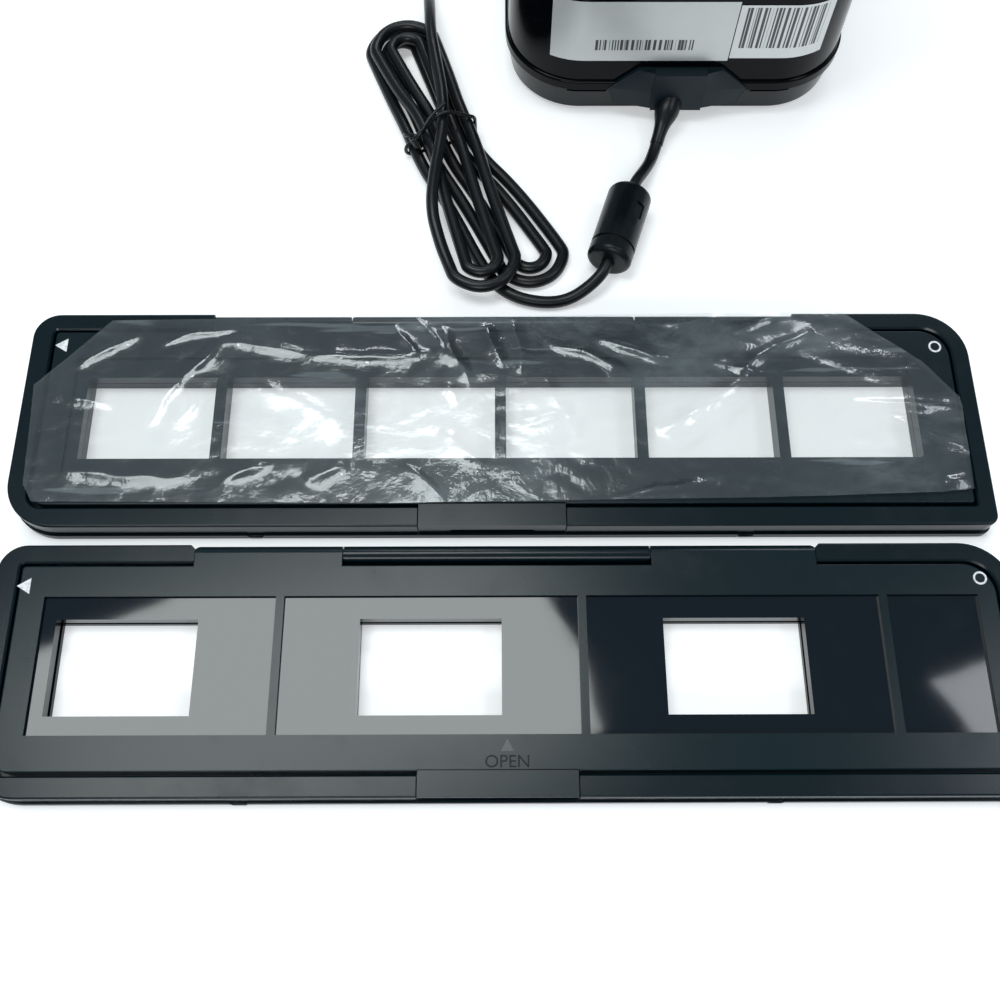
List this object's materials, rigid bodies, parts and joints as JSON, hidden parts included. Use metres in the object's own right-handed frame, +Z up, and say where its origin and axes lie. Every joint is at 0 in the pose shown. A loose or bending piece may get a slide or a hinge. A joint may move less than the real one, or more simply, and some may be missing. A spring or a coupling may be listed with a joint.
{
  "type": "film negative scanner",
  "caption": "Upright tower scanner for film with a captive lead, and hinged holders for negative strips and mounted slides.",
  "frame": {"origin": "On the table, in the middle of the space that the tower and the two holders take up together", "axes": "+Z is up, the holders lie along X, and +Y runs from the slide holder past the negative holder to the tower"},
  "size_m": [0.2604, 0.2958, 0.1674],
  "materials": {
    "gloss_shell": "polished, high gloss",
    "base_plastic": "smooth gloss",
    "foot_rubber": "matt",
    "screw_steel": "zinc plated",
    "ring_chrome": "bright",
    "switch_plastic": "matt",
    "board_green": "solder mask",
    "led_white": "clear",
    "clear_plastic": "clear, polished",
    "chip_black": "matt",
    "header_white": "matt",
    "inner_plastic": "fine matt",
    "diffuser_white": "matt, translucent",
    "spring_steel": "bright",
    "sensor_glass": "coated glass",
    "barrel_aluminium": "black anodised",
    "lens_glass": "coated, polished",
    "gland_plastic": "fine matt",
    "cable_rubber": "satin",
    "bead_plastic": "satin to gloss",
    "ferrite_ceramic": "dull grey-black",
    "tie_plastic": "satin",
    "plug_rubber": "satin",
    "plug_steel": "nickel plated",
    "button_plastic": "high gloss",
    "holder_plastic": "satin",
    "slide_cover_plastic": "polished panels between matt ribs",
    "clear_film": "thin clear film"
  },
  "bodies": {
    "scanner": {"rear_shell": "gloss_shell", "front_shell": "gloss_shell", "base_tray": "base_plastic", "rubber_feet": "foot_rubber", "case_screws": "screw_steel", "top_cap": "gloss_shell", "button_ring": "ring_chrome", "tact_switch": "switch_plastic", "button_board": "board_green", "button_board_screws": "screw_steel", "status_led": "led_white", "light_pipe": "clear_plastic", "main_board": "board_green", "board_chips": "chip_black", "cable_header": "header_white", "light_box": "inner_plastic", "frame_screws": "screw_steel", "light_board": "board_green", "backlight_leds": "led_white", "diffuser": "diffuser_white", "lower_guide": "inner_plastic", "upper_guide": "inner_plastic", "click_spring": "spring_steel", "optics_tunnel": "inner_plastic", "sensor_board": "board_green", "sensor_board_screws": "screw_steel", "image_sensor": "sensor_glass", "lens_holder": "inner_plastic", "lens_barrel": "barrel_aluminium", "lens_glass": "lens_glass", "cable_gland": "gland_plastic", "strain_relief": "cable_rubber", "usb_cable_lead": "cable_rubber", "ferrite_bead": "bead_plastic", "ferrite_core": "ferrite_ceramic", "cable_hank": "cable_rubber", "usb_cable_tail": "cable_rubber", "cable_tie": "tie_plastic", "usb_plug_grip": "plug_rubber", "usb_plug_shell": "plug_steel", "usb_plug_tongue": "header_white"},
    "button": {"scan_button": "button_plastic", "switch_plunger": "switch_plastic"},
    "negative_holder": {"negative_tray": "holder_plastic"},
    "negative_lid": {"negative_cover": "holder_plastic", "protective_film": "clear_film"},
    "slide_holder": {"slide_tray": "holder_plastic"},
    "slide_lid": {"slide_cover": "slide_cover_plastic"}
  },
  "joints": [
    {"name": "scan_button_press", "type": "slide", "parent": "scanner", "child": "button", "axis": [0, 0, -1], "range_m": [0, 0.0008], "stiffness_N_per_m": 600, "springref_m": -0.0004},
    {"name": "negative_holder_feed", "type": "slide", "parent": "scanner", "child": "negative_holder", "axis": [1, 0, 0], "range_m": [-0.095, 0.095]},
    {"name": "negative_lid_hinge", "type": "hinge", "parent": "negative_holder", "child": "negative_lid", "pos_m": [-0.00065, -0.01795, 0.0052], "axis": [-1, 0, 0], "range_deg": [0, 105]},
    {"name": "slide_holder_feed", "type": "slide", "parent": "scanner", "child": "slide_holder", "axis": [1, 0, 0], "range_m": [-0.057, 0.095]},
    {"name": "slide_lid_hinge", "type": "hinge", "parent": "slide_holder", "child": "slide_lid", "pos_m": [0.00065, -0.08625, 0.0052], "axis": [-1, 0, 0], "range_deg": [0, 105]}
  ]
}
